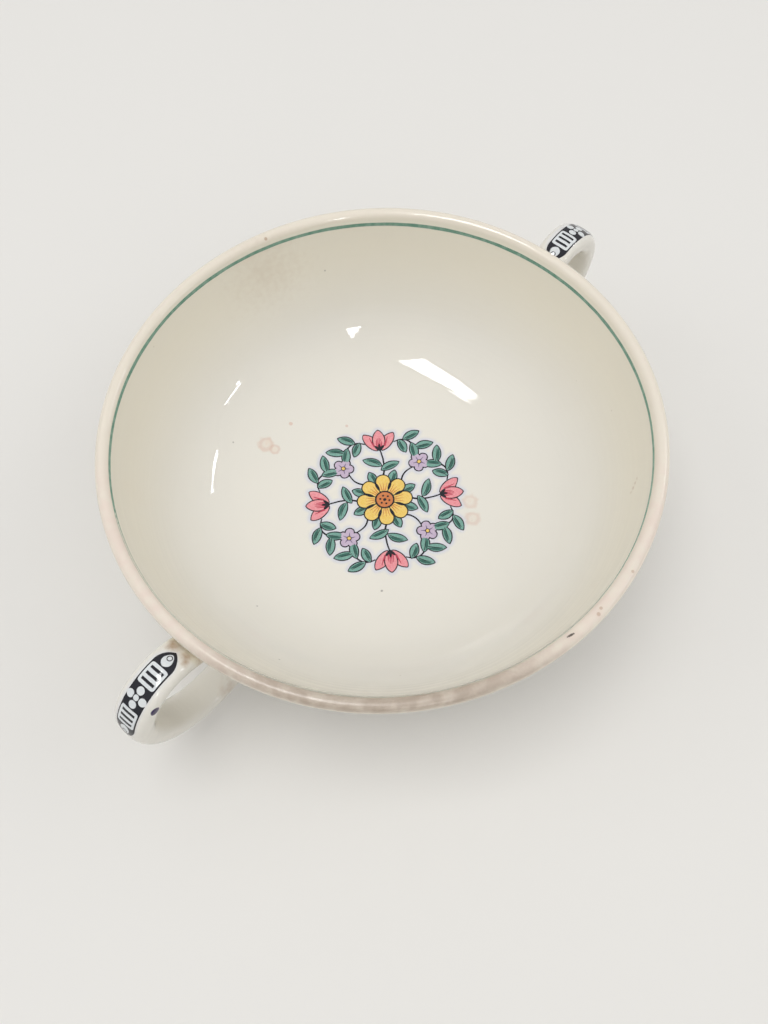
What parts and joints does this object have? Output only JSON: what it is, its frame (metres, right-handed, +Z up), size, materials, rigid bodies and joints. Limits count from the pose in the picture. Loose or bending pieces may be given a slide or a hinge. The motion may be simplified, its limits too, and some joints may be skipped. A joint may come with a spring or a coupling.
{
  "type": "two-handled cup",
  "caption": "Round shallow soup cup in cream glazed earthenware, with a rounded lip, a foot ring and a flat strap loop handle on each side.",
  "frame": {"origin": "middle of the foot ring's standing face, on the cup's axis", "axes": "+Z up along the cup's axis, the handles along X, Y across them"},
  "size_m": [0.1604, 0.122, 0.046],
  "materials": {
    "glaze": "gloss"
  },
  "bodies": {
    "root": {"cup": "glaze"}
  },
  "joints": []
}
